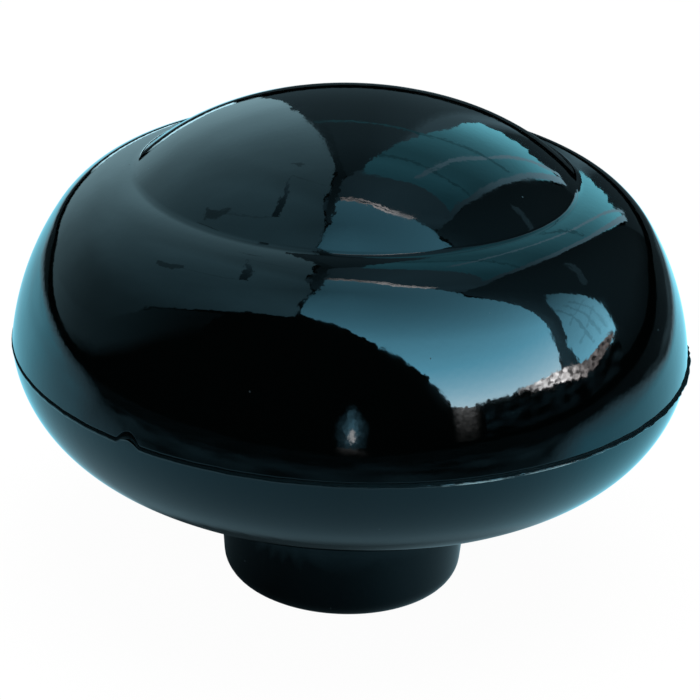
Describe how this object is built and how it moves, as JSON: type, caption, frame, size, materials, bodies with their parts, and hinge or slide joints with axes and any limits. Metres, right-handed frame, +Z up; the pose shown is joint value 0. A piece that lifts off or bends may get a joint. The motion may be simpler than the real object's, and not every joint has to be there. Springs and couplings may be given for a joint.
{
  "type": "gear shift knob",
  "caption": "Round palm-grip gear shift knob in gloss black plastic with a raised crown, a short neck and a threaded brass bush in its foot.",
  "frame": {"origin": "centre of the knob's foot, on its axis, at the level of the foot's flat face", "axes": "+Z up the knob's axis from the foot to the crown; X and Y are free, with most of the flash near +X and the chip near (-X, -Y)"},
  "size_m": [0.0554, 0.0554, 0.0412],
  "materials": {
    "moulded_plastic": "high gloss black moulding",
    "bush_brass": "turned"
  },
  "bodies": {
    "root": {"knob_body": "moulded_plastic", "threaded_bush": "bush_brass"}
  },
  "joints": []
}
